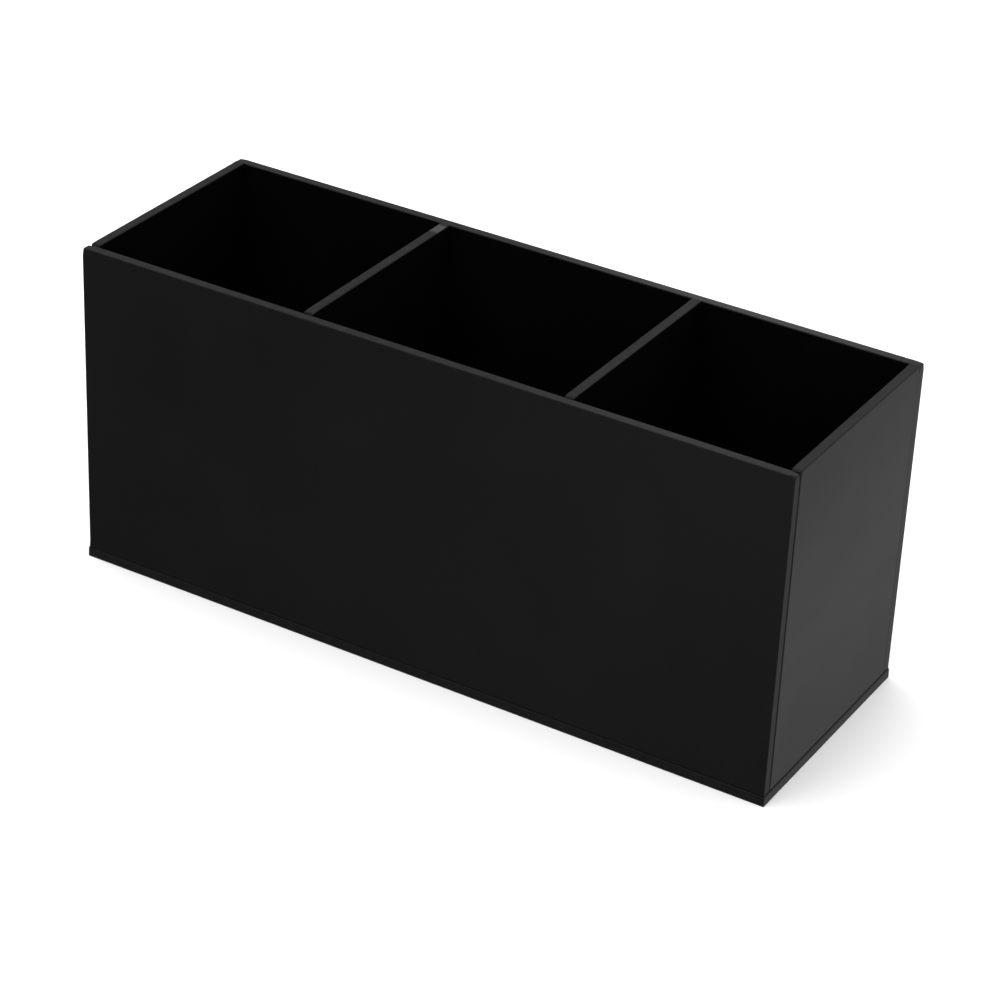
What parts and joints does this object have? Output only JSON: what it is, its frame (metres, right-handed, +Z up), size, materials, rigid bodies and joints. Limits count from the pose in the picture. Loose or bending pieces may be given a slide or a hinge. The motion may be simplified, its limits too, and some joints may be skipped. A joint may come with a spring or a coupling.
{
  "type": "paint rack organizer",
  "caption": "Open-topped box of black acrylic sheet with cross dividers that make bays of unequal length for standing paint bottles, brushes and tools.",
  "frame": {"origin": "on the resting plane, under the middle of the box", "axes": "+Z up, +X along the length towards the short bay's end, -Y out of the long face that looks at the user"},
  "size_m": [0.2268, 0.0778, 0.1018],
  "materials": {
    "black_acrylic": "gloss"
  },
  "bodies": {
    "root": {"base_plate": "black_acrylic", "front_panel": "black_acrylic", "back_panel": "black_acrylic", "left_end_panel": "black_acrylic", "left_divider": "black_acrylic", "right_divider": "black_acrylic", "right_end_panel": "black_acrylic"}
  },
  "joints": []
}
